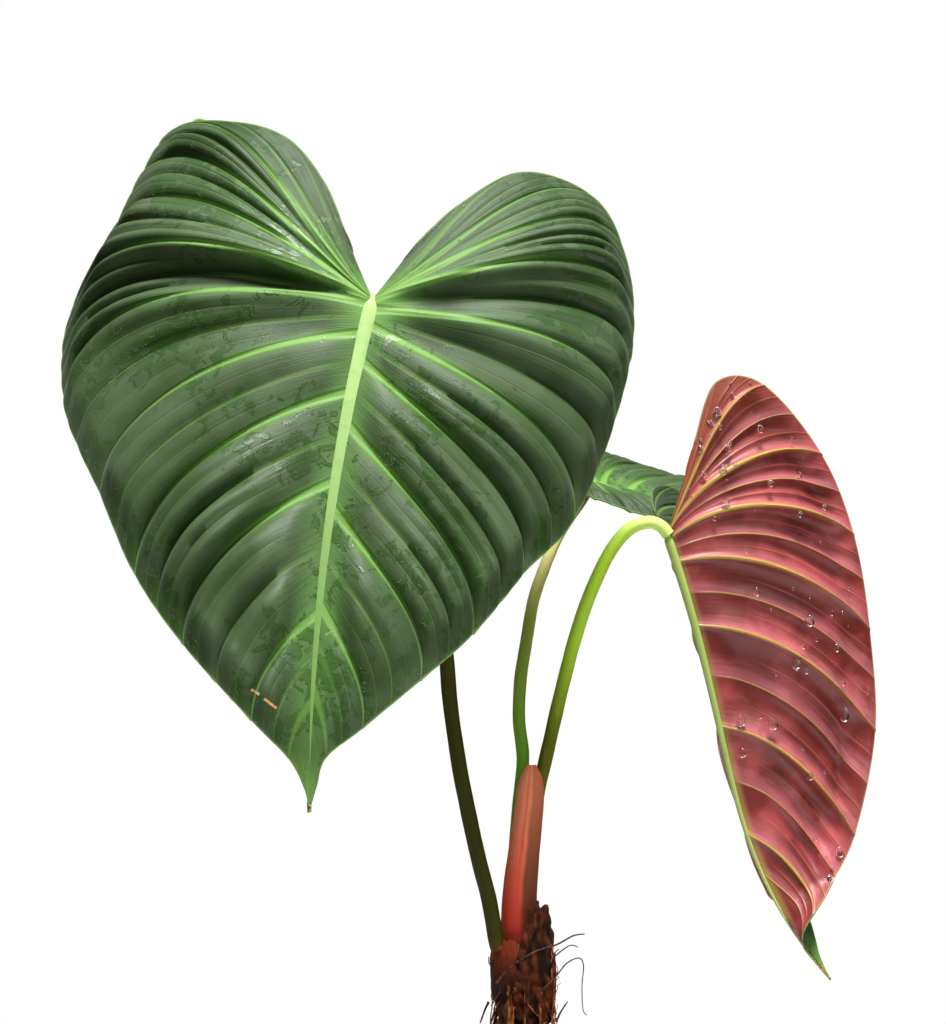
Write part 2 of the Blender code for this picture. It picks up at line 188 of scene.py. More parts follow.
FRONT_LEFT_HALF = [
    Vein(0.00, 15, 29, 150, 158, 0),
    Vein(0.00, 26, 50, 143, 158, 0.1),
    Vein(0.00, 44, 70, 136, 136, 0.3, ledge=0.5),
    Vein(0.00, 69, 78, 131, 112, 0.5, ledge=1.0),
    Vein(0.00, 96, 78, 126, 76, 1, lift=1, ledge=1.5),
    Vein(0.00, 109, 58, 122, 58, 1, ledge=1.5),
    Vein(0.00, 118, 34, 118, 48, 1, lift=-1, ledge=1.0),
    Vein(0.00, 140, -4, 108, 28, 1, lift=4, ledge=9),
    Vein(0.01, 129, -41, 94, 2, 1, lift=1, ledge=4),
    Vein(0.07, 95, -85, 78, -5, 1, ledge=1.2),
    Vein(0.19, 73, -118, 68, -10, 1, ledge=0.8),
    Vein(0.37, 50, -144, 58, -14, 1, ledge=0.8),
    Vein(0.63, 22, -170, 48, -12, 0.9, ledge=0.4),
    Vein(0.80, 8, -182, 38, -6, 0.5),
    Vein(0.93, 2, -192, 20, 0, 0),
    Vein(1.00, 0, -200, 5, 5, 0),
]
FRONT_RIGHT_HALF = [
    Vein(0.00, 14, 26, 150, 154, 0),
    Vein(0.00, 29, 47, 142, 149, 0.2),
    Vein(0.00, 52, 68, 133, 122, 0.6, ledge=0.6),
    Vein(0.00, 83, 66, 127, 84, 0.8, ledge=0.8),
    Vein(0.00, 101, 48, 121, 50, 1, lift=1, ledge=1.2),
    Vein(0.00, 111, 19, 114, 26, 1, lift=3, ledge=7.0),
    Vein(0.02, 110, -27, 90, 4, 1, lift=1, ledge=4.0),
    Vein(0.05, 98, -71, 66, 0, 1, ledge=0.8),
    Vein(0.12, 78, -98, 50, 0, 1, ledge=0.8),
    Vein(0.25, 59, -126, 43, -2, 1, ledge=0.8),
    Vein(0.42, 40, -147, 40, -6, 1, ledge=0.5),
    Vein(0.61, 19, -168, 36, -5, 0.9, ledge=0.3),
    Vein(0.77, 6, -180, 28, -2, 0.5),
    Vein(0.93, 2, -192, 15, 0, 0),
    Vein(1.00, 0, -200, 5, 5, 0),
]
NARROW_HALF = [
    Vein(0.00, 23, 32, 146, 147, 0),
    Vein(0.00, 40, 51, 141, 142, 0.2),
    Vein(0.00, 61, 43, 137, 80, 1),
    Vein(0.00, 79, 8, 136, 55, 1),
    Vein(0.01, 83, -28, 112, 42, 1),
    Vein(0.06, 78, -67, 84, 30, 1),
    Vein(0.20, 68, -107, 70, 20, 1),
    Vein(0.42, 42, -143, 62, 12, 1),
    Vein(0.66, 13, -165, 48, 8, 1),
    Vein(0.84, 4, -179, 22, 2, 0),
    Vein(1.00, 0, -192, 5, 5, 0),
]
# The right leaf's far half has a shorter lobe, which the near half hides.
FAR_LOBE = [
    Vein(0.00, 17, 10, 130, 124, 0),
    Vein(0.00, 38, 17, 124, 116, 0.2),
    Vein(0.00, 61, 14, 120, 84, 1),
    Vein(0.00, 78, -2, 116, 58, 1),
]
FAR_HALF = FAR_LOBE + NARROW_HALF[4:]


def scaled_half(veins, scale):
    """The same half blade for a leaf of another size."""
    return [one._replace(across=one.across * scale, along=one.along * scale) for one in veins]


BACK_LENGTH = 86
BACK_HALF = scaled_half(NARROW_HALF, BACK_LENGTH / 192)
FRONT_LEAF = Leaf(
    base=(-58.5, -35, 420.5), turn=(-15, 7, 0), length=200, bow=-5, bow_late=0.9, hook=2,
    folds=(6, 6), curl=-42, lobe_drop=20, tip_drop=8, tip_twist=0,
    pleat=0.20, edge_relief=0.25, ridge=1.2, rib_width=6.8,
    left=FRONT_LEFT_HALF, right=FRONT_RIGHT_HALF,
)
RIGHT_LEAF = Leaf(
    base=(58.5, 5, 329), turn=(-15, 13, 137), length=192, bow=13, bow_late=1.9, hook=-3,
    folds=(38, 42), curl=60, lobe_drop=0, tip_drop=0, tip_twist=95,
    pleat=0.11, edge_relief=0, ridge=0.5, rib_width=4.4,
    left=NARROW_HALF, right=FAR_HALF,
)
BACK_LEAF = Leaf(
    base=(33.6, 130, 352.5), turn=(-73, -21, 94), length=BACK_LENGTH, bow=-2, bow_late=1, hook=0,
    folds=(14, 14), curl=-50, lobe_drop=8, tip_drop=10, tip_twist=0,
    pleat=0.14, edge_relief=0.2, ridge=0.6, rib_width=2.4,
    left=BACK_HALF, right=BACK_HALF,
)


def through(rows, at):
    """A smooth curve through the rows, at a count of rows along it."""
    rows = np.asarray(rows, float)
    at = np.clip(at, 0, len(rows) - 1)
    step = np.minimum(at.astype(int), len(rows) - 2)
    part = (at - step)[..., None]
    before, here = rows[np.maximum(step - 1, 0)], rows[step]
    after, beyond = rows[step + 1], rows[np.minimum(step + 2, len(rows) - 1)]
    return 0.5 * (
        2 * here
        + (after - before) * part
        + (2 * before - 5 * here + 4 * after - beyond) * part**2
        + (3 * here - before - 3 * after + beyond) * part**3
    )


def smooth(value, low, high):
    """A soft step from 0 at low to 1 at high."""
    share = np.clip((value - low) / (high - low), 0, 1)
    return share * share * (3 - 2 * share)


def midrib_aside(leaf, along):
    """How far the midrib stands to the side at a place along the leaf."""
    share = np.clip(-along / leaf.length, 0, 1)
    return leaf.bow * np.sin(pi * share**leaf.bow_late) + leaf.hook * share**6


def flat_point(leaf, side, row, share):
    """Across and along with the blade laid flat: each vein is a curve that bends from the rib to the margin."""
    sign = (-1, 1)[side]
    veins = (leaf.left, leaf.right)[side]
    vein = through(veins, row)
    along = -np.interp(row, range(len(veins)), [one.share for one in veins]) * leaf.length
    start = np.stack([midrib_aside(leaf, along), along], -1)
    end = np.stack([sign * vein[..., 1] + midrib_aside(leaf, vein[..., 2]), vein[..., 2]], -1)
    reach = np.linalg.norm(end - start, axis=-1, keepdims=True)
    leaves, arrives = np.radians(vein[..., 3]), np.radians(vein[..., 4])
    out = start + 0.36 * reach * np.stack([sign * np.sin(leaves), -np.cos(leaves)], -1)
    back = end - 0.30 * reach * np.stack([sign * np.sin(arrives), -np.cos(arrives)], -1)
    s = np.asarray(share)[..., None]
    return start * (1 - s) ** 3 + 3 * out * s * (1 - s) ** 2 + 3 * back * s**2 * (1 - s) + end * s**3


def shaped(leaf, side, flat):
    """The flat blade folded at the midrib, curled across and bent along, in the leaf's own frame."""
    sign = (-1, 1)[side]
    along = flat[..., 1]
    middle = midrib_aside(leaf, along)
    across = np.abs(flat[..., 0] - middle)
    share = -along / leaf.length
    tip = np.clip((share - 0.75) / 0.25, 0, 1.2)
    fold = np.radians(leaf.folds[side] + sign * leaf.tip_twist * smooth(share, 0.80, 0.93))
    turn = np.radians(leaf.curl) / 100
    aside = (np.sin(fold + turn * across) - np.sin(fold)) / turn
    rise = (np.cos(fold) - np.cos(fold + turn * across)) / turn
    rise = rise - leaf.lobe_drop * (np.clip(along, 0, None) / 80) ** 1.7 - leaf.tip_drop * tip**2
    return np.stack([middle + sign * aside, -rise, along], -1)


def upper_normal(leaf, side, flat):
    """Which way the upper face looks."""
    step = 0.05
    here = shaped(leaf, side, flat)
    across = shaped(leaf, side, flat + (step * (-1, 1)[side], 0)) - here
    up = shaped(leaf, side, flat + (0, step)) - here
    normal = np.cross(across, up) * (-1, 1)[side]
    return normal / np.linalg.norm(normal, axis=-1, keepdims=True)


def in_room(leaf, places):
    """From the leaf's own frame to the room's, in metres."""
    turn = np.array(Euler([radians(angle) for angle in leaf.turn]).to_matrix())
    return (places @ turn.T + np.array(leaf.base)) * MM


# ======== Making pieces ========
def deselect():
    for chosen in list(bpy.context.selected_objects):
        chosen.select_set(False)


def choose(*pieces):
    """Selects the pieces alone, with the first of them active."""
    deselect()
    for piece in pieces:
        piece.select_set(True)
    bpy.context.view_layer.objects.active = pieces[0]


def edit(piece, *steps):
    """Runs edit-mode operators on the whole of a piece; each step is an operator and its settings."""
    choose(piece)
    bpy.ops.object.mode_set(mode="EDIT")
    bpy.ops.mesh.select_all(action="SELECT")
    for operator, settings in steps:
        operator(**settings)
        bpy.ops.mesh.select_all(action="SELECT")
    bpy.ops.object.mode_set(mode="OBJECT")


def grid(name, places):
    """A grid whose vertices go to the places, rows by columns."""
    deselect()
    rows, columns = places.shape[:2]
    bpy.ops.mesh.primitive_grid_add(x_subdivisions=columns - 1, y_subdivisions=rows - 1, size=1)
    piece = bpy.context.object
    piece.name = name
    piece.data.name = name
    piece.data.vertices.foreach_set("co", np.ascontiguousarray(places, np.float32).ravel())
    piece.data.update()
    return piece


def close_up(piece, caps=True):
    """Merges a wrapped grid's seam and poles, fills its ends and turns its faces outwards."""
    steps = [(bpy.ops.mesh.remove_doubles, {"threshold": SAME_PLACE})]
    if caps:
        steps.append((bpy.ops.mesh.fill_holes, {"sides": 0}))
    steps.append((bpy.ops.mesh.normals_make_consistent, {"inside": False}))
    edit(piece, *steps)


def attribute(piece, name, values):
    made = piece.data.attributes.new(name, "FLOAT", "POINT")
    made.data.foreach_set("value", np.ascontiguousarray(values, np.float32).ravel())


def apply_modifiers(piece):
    choose(piece)
    for modifier in list(piece.modifiers):
        bpy.ops.object.modifier_apply(modifier=modifier.name)


def solid(piece, thickness, offset=0.0, group="", thin=1.0, slots=False):
    """Gives a sheet its thickness; a vertex group thins it where its weight is low."""
    wall = piece.modifiers.new("thickness", "SOLIDIFY")
    wall.thickness = thickness
    wall.offset = offset
    wall.use_even_offset = False
    if group:
        wall.vertex_group = group
        wall.thickness_vertex_group = thin
    if slots:
        wall.material_offset = 1
    apply_modifiers(piece)


def soften(piece, angle=60):
    choose(piece)
    bpy.ops.object.shade_smooth_by_angle(angle=radians(angle))


def finished(piece, finishes, slot_name, *nodes, smooth_angle=60):
    """The piece wears its finishes, rides on the plant and stands for its nodes."""
    if not piece.data.materials:
        for one in finishes:
            piece.data.materials.append(one)
    if smooth_angle:
        soften(piece, smooth_angle)
    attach(piece, "root")
    if nodes:
        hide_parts(*nodes)
    return piece


def frames_along(points):
    """Two directions across a line at each of its points, that turn as little as they can."""
    ahead = np.gradient(points, axis=0)
    ahead /= np.linalg.norm(ahead, axis=1, keepdims=True)
    first = np.cross(ahead[0], (0.3, 1.0, 0.1))
    sides = []
    for direction in ahead:
        first = first - direction * (first @ direction)
        first = first / np.linalg.norm(first)
        sides.append(first)
    sides = np.array(sides)
    return sides, np.cross(ahead, sides)


def tube(name, line, radius, steps=6, around=20, lumps=0.0, size=8.0):
    """A round strand along a smooth line in millimetres; radius is a number or a function of the share along it."""
    count = steps * (len(line) - 1) + 1
    points = through(line, np.linspace(0, len(line) - 1, count))
    side, up = frames_along(points)
    shares = np.linspace(0, 1, count)
    radii = radius(shares) if callable(radius) else np.full(count, float(radius))
    angles = np.linspace(0, 2 * pi, around + 1)
    ring = np.cos(angles)[None, :, None] * side[:, None] + np.sin(angles)[None, :, None] * up[:, None]
    if lumps:
        wobble = [[noise.noise(Vector(points[i] + ring[i, j] * 3) / size) for j in range(around)] for i in range(count)]
        wobble = np.array(wobble)
        radii = radii[:, None] + lumps * np.concatenate([wobble, wobble[:, :1]], axis=1)
    else:
        radii = np.repeat(radii[:, None], around + 1, axis=1)
    piece = grid(name, (points[:, None] + ring * radii[..., None]) * MM)
    attribute(piece, "down_line", np.repeat(shares, around + 1))
    close_up(piece)
    return piece


def joined(name, pieces):
    """Several pieces made one."""
    choose(*pieces)
    bpy.ops.object.join()
    whole = bpy.context.object
    whole.name = name
    whole.data.name = name
    return whole


# ======== Leaf blades ========
PERIOD_TURN = 0.5


def arch(count):
    """One arch for each whole number of the count."""
    part = count - np.floor(count)
    return 4 * part * (1 - part)


def varied(index, seed):
    """A fixed number from 0 to 1 for each whole number."""
    return 0.5 + 0.5 * np.sin(index * 12.9898 + seed * 4.1)


def blade_half(name, leaf, side, finishes, slot_name, node, per_gap=24, columns=118, tissue=0.6):
    """One half of a blade: rows follow the veins, and the blade swells between them."""
    veins = (leaf.left, leaf.right)[side]
    gaps = len(veins) - 1
    part = np.arange(per_gap) / per_gap
    part = part - PERIOD_TURN * np.sin(2 * pi * part) / (2 * pi)
    rows = np.append((np.arange(gaps)[:, None] + part).ravel(), gaps)
    shares = np.linspace(0, 1, columns + 1) ** 1.1
    row, share = np.meshgrid(rows, shares, indexing="ij")
    flat = flat_point(leaf, side, row, share)

    step = 0.01
    along_vein = flat_point(leaf, side, row, np.clip(share + step, 0, 1)) - flat_point(
        leaf, side, row, np.clip(share - step, 0, 1)
    )
    along_vein /= np.linalg.norm(along_vein, axis=-1, keepdims=True) + 1e-6
    apart = flat_point(leaf, side, np.clip(row + step, 0, gaps), share) - flat_point(
        leaf, side, np.clip(row - step, 0, gaps), share
    )
    apart = apart / (np.clip(row + step, 0, gaps) - np.clip(row - step, 0, gaps))[..., None]
    gap = np.abs(apart[..., 0] * along_vein[..., 1] - apart[..., 1] * along_vein[..., 0])

    margin = flat_point(leaf, side, np.linspace(0, gaps, 600), np.ones(600))
    edge = np.full(flat.shape[:2], 99.0)
    for start in range(0, 600, 50):
        gone = flat[:, :, None] - margin[None, None, start : start + 50]
        edge = np.minimum(edge, np.linalg.norm(gone, axis=-1).min(axis=-1))
    rib = np.abs(flat[..., 0] - midrib_aside(leaf, flat[..., 1]))
    rib = np.hypot(rib, np.clip(flat[..., 1], 0, None))

    width = np.clip(gap, 0, 42)
    start = np.minimum(row.astype(int), gaps - 1)
    between = row - start
    plain = np.interp(row, range(len(veins)), [one.strong for one in veins])
    calm = 0.2 + 0.8 * plain**1.5
    size = leaf.length / 200
    ledges = np.array([one.ledge for one in veins])[start] * size
    swell = 0.72 * (0.75 + 0.5 * varied(start, side)) * arch(row) * (1 - np.clip(ledges / 5, 0, 1))
    halves = 0.40 * (0.5 + varied(2 * row // 1, side + 1)) * arch(2 * row)
    swell += halves * smooth(share, 0.08, 0.4) * calm * smooth(gap, 3, 9)
    quarters = 0.32 * (0.2 + 1.6 * varied(4 * row // 1, side + 2)) * arch(4 * row)
    swell += quarters * smooth(share, 0.2, 0.6) * calm * smooth(gap, 5, 16)
    uneven = 1 + 0.28 * np.sin(7.0 * share + 2.3 * start + side)
    relief = leaf.pleat * width * swell * (0.45 + 0.55 * calm) * uneven * smooth(rib, 1.0, 15.0)
    relief -= ledges * np.sin(pi * between**1.15) * smooth(share, 0.02, 0.25) * (1 - 0.9 * smooth(share, 0.45, 0.95))
    relief += through([[one.lift * size] for one in veins], row)[..., 0] * np.sin(pi * np.clip(share, 0, 1)) ** 0.8
    relief += 1.0 * size * np.sin(row * 2.1 + 1.3) * smooth(share, 0.6, 0.9)
    relief *= leaf.edge_relief + (1 - leaf.edge_relief) * smooth(edge, 0.0, 13.0 * size)
    strong = np.array([one.strong for one in veins])[np.rint(row).astype(int)]
    normal = upper_normal(leaf, side, flat)
    places = in_room(leaf, shaped(leaf, side, flat) + normal * relief[..., None])

    piece = grid(name, places)
    base = np.linalg.norm(flat, axis=-1) / size
    measures = dict(row=row, gap=gap, share=share, strong=strong, edge=edge, rib=rib, base=base, relief=relief)
    for measure, values in measures.items():
        attribute(piece, measure, values)
    line = np.abs(row - np.rint(row)) * gap
    ridge = np.exp(-((line / (0.5 + 0.7 * (1 - share))) ** 2)) * strong * (1 - 0.6 * share)
    thick = np.clip(0.25 + ridge, 0.05, 1)
    group = piece.vertex_groups.new(name="thick")
    for index, weight in enumerate(thick.ravel()):
        group.add((index,), float(weight), "REPLACE")
    edit(piece, (bpy.ops.mesh.remove_doubles, {"threshold": SAME_PLACE}))
    facing = np.zeros(3)
    for polygon in piece.data.polygons:
        facing += np.array(polygon.normal) * polygon.area
    looks = in_room(leaf._replace(base=(0, 0, 0)), normal.reshape(-1, 3).mean(axis=0))
    if facing @ looks < 0:
        edit(piece, (bpy.ops.mesh.flip_normals, {}))
    for one in finishes:
        piece.data.materials.append(one)
    solid(piece, (tissue + leaf.ridge) * MM, offset=-1, group="thick", thin=0.25, slots=True)
    return finished(piece, finishes, slot_name, node, smooth_angle=80)


def midrib(name, leaf, finishes, slot_name, node):
    """The rib: a lens on the upper face and a rounded keel below, tapering to the tip."""
    count, around = 120, 24
    shares = np.linspace(-0.012, 0.985, count)
    along = -shares * leaf.length
    flat = np.stack([midrib_aside(leaf, along), along], -1)
    on_left, on_right = upper_normal(leaf, 0, flat - (0.3, 0)), upper_normal(leaf, 1, flat + (0.3, 0))
    normal = on_left + on_right
    normal /= np.linalg.norm(normal, axis=1, keepdims=True)
    points = (shaped(leaf, 0, flat) + shaped(leaf, 1, flat)) / 2
    ahead = np.gradient(points, axis=0)
    ahead /= np.linalg.norm(ahead, axis=1, keepdims=True)
    across = np.cross(ahead, normal)
    taper = 0.16 + 0.84 * (1 - np.clip(shares, 0, 1)) ** 0.9
    half = leaf.rib_width / 2 * taper * (0.3 + 0.7 * smooth(shares, -0.015, 0.02))
    angles = np.linspace(0, 2 * pi, around + 1)
    stand = np.where(np.sin(angles) > 0, 0.30, 0.85)
    ring = (
        across[:, None] * np.cos(angles)[None, :, None]
        + normal[:, None] * (np.sin(angles) * stand)[None, :, None]
    )
    places = points[:, None] - normal[:, None] * 0.25 + ring * half[:, None, None]
    piece = grid(name, in_room(leaf, places))
    attribute(piece, "down_line", np.repeat(np.clip(shares, 0, 1), around + 1))
    attribute(piece, "upper_face", np.tile(np.sin(angles), count))
    close_up(piece)
    return finished(piece, finishes, slot_name, node, smooth_angle=80)


# ======== Finishes of the leaves ========
def vein_lines(finish, wide, medium_strong, taper=0.68):
    """Masks from the blade's own measures: how near a main or a side vein is, and the vein lines themselves."""
    row, gap = finish.attribute("row"), finish.attribute("gap")
    share, strong = finish.attribute("share"), finish.attribute("strong")
    main_far = finish.nearest_line(row) * gap
    medium_far = finish.nearest_line(row * 2) * gap / 2
    side_far = finish.nearest_line(row * 4) * gap / 4
    width = wide - share * (wide * taper)
    main = (1 - finish.step(main_far / width, 0.3, 1.0)) * strong
    medium = (1 - finish.step(medium_far / width, 0.2, 0.8)) * finish.step(share, 0.02, 0.12) * medium_strong * strong
    roomy = finish.step(gap, 5, 12)
    side = (1 - finish.step(side_far, 0.05, 0.6)) * finish.step(share, 0.1, 0.5) * roomy * strong
    return row, share, main_far, finish.maths("MAXIMUM", main, medium * roomy), side


# Healed scratches and specks on the front leaf, as seen from the front: two ends, a width and a colour.
MARKS = [
    ((-102.0, 272.0), (-99.0, 270.2), 0.9, paint(206, 160, 104)),
    ((-97.0, 268.8), (-92.4, 265.2), 1.0, paint(198, 140, 88)),
    ((-75.0, 292.0), (-70.0, 294.6), 0.7, paint(112, 132, 92)),
    ((-67.0, 328.4), (-66.4, 329.0), 1.2, paint(30, 30, 14)),
    ((-59.2, 421.4), (-58.4, 420.8), 1.6, paint(150, 96, 54)),
]


def leaf_upper(name, tissue, painted_sheen, deep, vein, rib):
    """Velvety green with pale sunken veins, fine streaks and crisp-edged wet patches; the greyish sheen is painted into
    the colour in random patches, and shade is painted in the folds and towards the margin.
    """
    finish = Finish(name, Roughness=0.5, Specular_IOR_Level=0.3, Sheen_Weight=0.05, Sheen_Roughness=0.5)
    row, share, main_far, main, side = vein_lines(finish, 2.4, 0.3, 0.85)
    streak = finish.cloud(finish.joined(row * 34, share * 5), 1.0, detail=5, rough=0.6)
    broad = finish.cloud(finish.place(), 22, detail=3)
    fine = finish.cloud(finish.place(), 1.0, detail=5, rough=0.65)
    # Painted sheen: the velvet's greyish sheen is painted into the colour in random patches.
    colour = finish.mix(tissue, painted_sheen, finish.step(broad + streak * 0.5, 0.55, 0.95) * 0.7)
    halo = (1 - finish.step(main_far, 0.4, 5.0)) * (1 - finish.step(share, 0.05, 0.75)) * finish.attribute("strong")
    colour = finish.mix(colour, rib, halo * 0.4)
    near_rib = 1 - finish.step(finish.attribute("rib") + (fine - 0.5) * 3, 3.0, 13.0)
    colour = finish.mix(colour, rib, near_rib * 0.35)
    junction = 1 - finish.step(finish.attribute("base") + (fine - 0.5) * 6, 3, 24)
    colour = finish.mix(colour, rib, junction * 0.7)
    colour = finish.mix(colour, vein, (1 - finish.step(finish.attribute("base"), 3, 13)) * 0.8)
    # Painted shade: the blade is darkened where its relief sinks into a fold, as if shade lay there.
    painted_fold_shade = 1 - finish.step(finish.attribute("relief"), -6.0, -0.5)
    colour = finish.mix(colour, paint(14, 28, 3), painted_fold_shade * 0.7)
    colour = finish.mix(colour, paint(22, 38, 8), finish.step(streak, 0.5, 0.78) * 0.45)
    # More painted sheen, along the paler streaks.
    colour = finish.mix(colour, painted_sheen, (1 - finish.step(streak, 0.24, 0.46)) * 0.5)
    # Painted shade: darker towards the margin, where the blade curls away from the light.
    painted_margin_shade = 1 - finish.step(finish.attribute("edge"), 0, 32)
    colour = finish.mix(colour, paint(30, 46, 14), painted_margin_shade * 0.4)
    spots = finish.cloud(finish.place(), 8, detail=10, rough=0.66, warp=0.8)
    where = finish.cloud(finish.place(), 48, detail=2)
    wet = finish.step(spots + where * 0.9, 1.01, 1.02)
    rim = wet - finish.step(spots + where * 0.9, 1.03, 1.07)
    colour = finish.mix(colour, deep, finish.maths("MAXIMUM", wet * 0.4, rim * 0.85))
    colour = finish.mix(colour, vein, side * 0.08)
    colour = finish.mix(colour, vein, main * (0.95 - share * 0.55))
    edge = 1 - finish.step(finish.attribute("edge"), 0.15, 0.9)
    tip = finish.step(finish.attribute("base"), 174, 198)
    colour = finish.mix(colour, vein, finish.maths("MAXIMUM", edge * 0.6, tip * 0.8))
    ragged = finish.cloud(finish.place(), 1.2, detail=3)
    seen_from_front = finish.vector("MULTIPLY", finish.place(), (1, 0, 1))
    for start, stop, wide, tint in MARKS:
        line = Vector((stop[0] - start[0], 0, stop[1] - start[1]))
        middle = ((stop[0] + start[0]) / 2, 0, (stop[1] + start[1]) / 2)
        away = finish.vector("SUBTRACT", seen_from_front, middle)
        down_line = finish.vector("DOT_PRODUCT", away, line.normalized(), out="Value")
        far = finish.vector("LENGTH", away, out="Value")
        off_line = finish.maths("SQRT", finish.maths("MAXIMUM", far * far - down_line * down_line, 0.0))
        within = 1 - finish.step(finish.maths("ABSOLUTE", down_line), line.length * 0.45, line.length * 0.55)
        mark = (1 - finish.step(off_line + (ragged - 0.5) * wide, wide * 0.3, wide * 0.6)) * within
        colour = finish.mix(colour, tint, mark * 0.9)
    rough = 0.56 - wet * 0.24 + (streak - 0.5) * 0.12
    height = streak * 0.22 + fine * 0.10 - main * 0.5 - side * 0.14 + wet * 0.12
    return finish.wears(Base_Color=colour, Roughness=rough, Normal=finish.bump(height, 0.8))


def leaf_underside(name):
    """Wine red between yellow-green veins that stand out, satin, with a browner lobe; shade just below each vein and a
    pink highlight across each panel are painted in.
    """
    finish = Finish(name, Roughness=0.38, Specular_IOR_Level=0.3)
    row, share, main_far, main, side = vein_lines(finish, 0.62, 1.0)
    streak = finish.cloud(finish.joined(row * 26, share * 4), 1.0, detail=5, rough=0.6)
    broad = finish.cloud(finish.place(), 20, detail=3)
    fine = finish.cloud(finish.place(), 1.5, detail=4)
    colour = finish.mix(paint(100, 34, 30), paint(150, 66, 66), finish.step(broad, 0.38, 0.66))
    colour = finish.mix(colour, paint(92, 28, 24), finish.step(streak, 0.48, 0.78) * 0.5)
    # Painted shade just below each vein, and a painted pink highlight towards the next vein, as light from above falls
    # on each swelling panel.
    below = finish.maths("FRACT", row * 2)
    colour = finish.mix(colour, paint(98, 30, 28), (1 - finish.step(below, 0.0, 0.5)) * 0.5)
    colour = finish.mix(colour, paint(184, 106, 112), finish.step(below + (streak - 0.5) * 0.6, 0.5, 0.95) * 0.45)
    brown = 1 - finish.step(row + (broad - 0.5) * 1.2, 1.3, 3.0)
    colour = finish.mix(colour, paint(128, 60, 36), brown * 0.75)
    beside = (1 - finish.step(main_far, 0.3, 1.4)) * finish.attribute("strong")
    colour = finish.mix(colour, paint(150, 84, 60), beside * 0.35)
    colour = finish.mix(colour, paint(166, 92, 66), side * 0.3)
    colour = finish.mix(colour, paint(160, 138, 64), main * 0.85)
    near_rib = 1 - finish.step(finish.attribute("rib"), 1.2, 4.0)
    colour = finish.mix(colour, paint(150, 130, 66), near_rib * 0.5)
    edge = 1 - finish.step(finish.attribute("edge"), 0.1, 0.8)
    colour = finish.mix(colour, paint(160, 140, 70), edge * 0.6)
    height = streak * 0.2 + fine * 0.06 + main * 0.5 + side * 0.2
    rough = 0.34 + streak * 0.1
    return finish.wears(Base_Color=colour, Roughness=rough, Normal=finish.bump(height, 0.7))


def rib_finish(name, top, tip, under):
    """Pale and waxy at the base, greener towards the tip; the keel below has its own colour."""
    finish = Finish(name, Roughness=0.42)
    down = finish.attribute("down_line")
    cloud = finish.cloud(finish.place(), 6, detail=4)
    colour = finish.mix(top, tip, finish.step(down, 0.0, 0.75))
    colour = finish.mix(colour, tip, finish.step(cloud, 0.45, 0.8) * 0.35)
    colour = finish.mix(under, colour, finish.step(finish.attribute("upper_face"), -0.3, 0.1))
    return finish.wears(Base_Color=colour, Normal=finish.bump(cloud, 0.15))


# The second colour is the painted greyish sheen of the velvet.
GREEN_UPPER = leaf_upper(
    "velvet_leaf", paint(38, 59, 18), paint(64, 82, 52), paint(28, 60, 6), paint(96, 138, 56), paint(84, 130, 44)
)
RED_UNDER = leaf_underside("red_underside")
FRONT_RIB = rib_finish("front_rib", paint(150, 180, 108), paint(92, 128, 60), paint(140, 160, 84))
RIGHT_RIB = rib_finish("right_rib", paint(120, 150, 70), paint(110, 145, 62), paint(150, 170, 84))

# ---- the three leaves ----
for key, leaf, rib, per_gap, columns in (
    ("front", FRONT_LEAF, FRONT_RIB, 24, 118),
    ("right", RIGHT_LEAF, RIGHT_RIB, 28, 118),
    ("back", BACK_LEAF, RIGHT_RIB, 16, 60),
):
    slot_name = "leaf_red_underside" if key == "right" else "leaf_green"
    for side, word in enumerate(("left", "right")):
        blade_half(
            f"{key}_leaf_{word}_half", leaf, side, (GREEN_UPPER, RED_UNDER), slot_name, f"{key}_leaf", per_gap, columns
        )
    midrib(f"{key}_leaf_midrib", leaf, (rib,), slot_name, f"{key}_leaf")

# ======== Stalks ========
STALKS = {
    "front": [
        (-9.1, -5.4, 164.4), (-10.4, -5.4, 168), (-13.2, -5, 183.5), (-17.4, -5, 200), (-22.4, -5, 223),
        (-25.6, -5, 240), (-28.8, -5, 263), (-30.6, -6, 284), (-36.5, -8, 326), (-43.7, -14, 362),
        (-51.2, -22, 393), (-57.2, -31, 416.5), (-58.6, -34, 420),
    ],
    "right": [
        (2.4, 2.8, 164.4), (2.6, 3.2, 195), (6, 4.2, 222.5), (9.5, 4, 238.5), (13.1, 3.5, 254.5), (16.9, 3, 270.5),
        (21.1, 3, 286.5), (26.3, 3, 302.5), (33.4, 3, 318.5), (39.4, 3, 327.5), (45, 3, 332.3), (51.3, 3.5, 333.9),
        (56, 4, 332.2), (58.8, 4.6, 329),
    ],
    "back": [
        (-3.1, 5.8, 164.4), (-3, 6, 195), (-1.4, 6.5, 218), (0.5, 8, 238), (-1, 12, 254), (-0.3, 18, 270),
        (2.3, 26, 285.5), (5.4, 38, 301.5), (9.7, 52, 313), (16, 80, 326), (23, 106, 336), (29, 122, 343.5),
        (32, 130.6, 348.4), (33.4, 131, 351),
    ],
}


def stalk_finish(name, low, middle, top, low_end, top_start, speck):
    """Changes colour up its length, with fine lengthwise streaks and pale specks."""
    finish = Finish(name, Roughness=0.5, Specular_IOR_Level=0.12)
    down = finish.attribute("down_line")
    colour = finish.mix(low, middle, finish.step(down, *low_end))
    colour = finish.mix(colour, top, finish.step(down, *top_start))
    streak = finish.cloud(finish.place((1, 1, 0.08)), 1.1, detail=4)
    colour = finish.mix(colour, speck, finish.step(streak, 0.55, 0.8) * 0.3)
    specks = finish.step(finish.cloud(finish.place(), 1.6, detail=2), 0.70, 0.76)
    colour = finish.mix(colour, speck, specks * 0.5)
    return finish.wears(Base_Color=colour, Normal=finish.bump(streak + specks, 0.18))


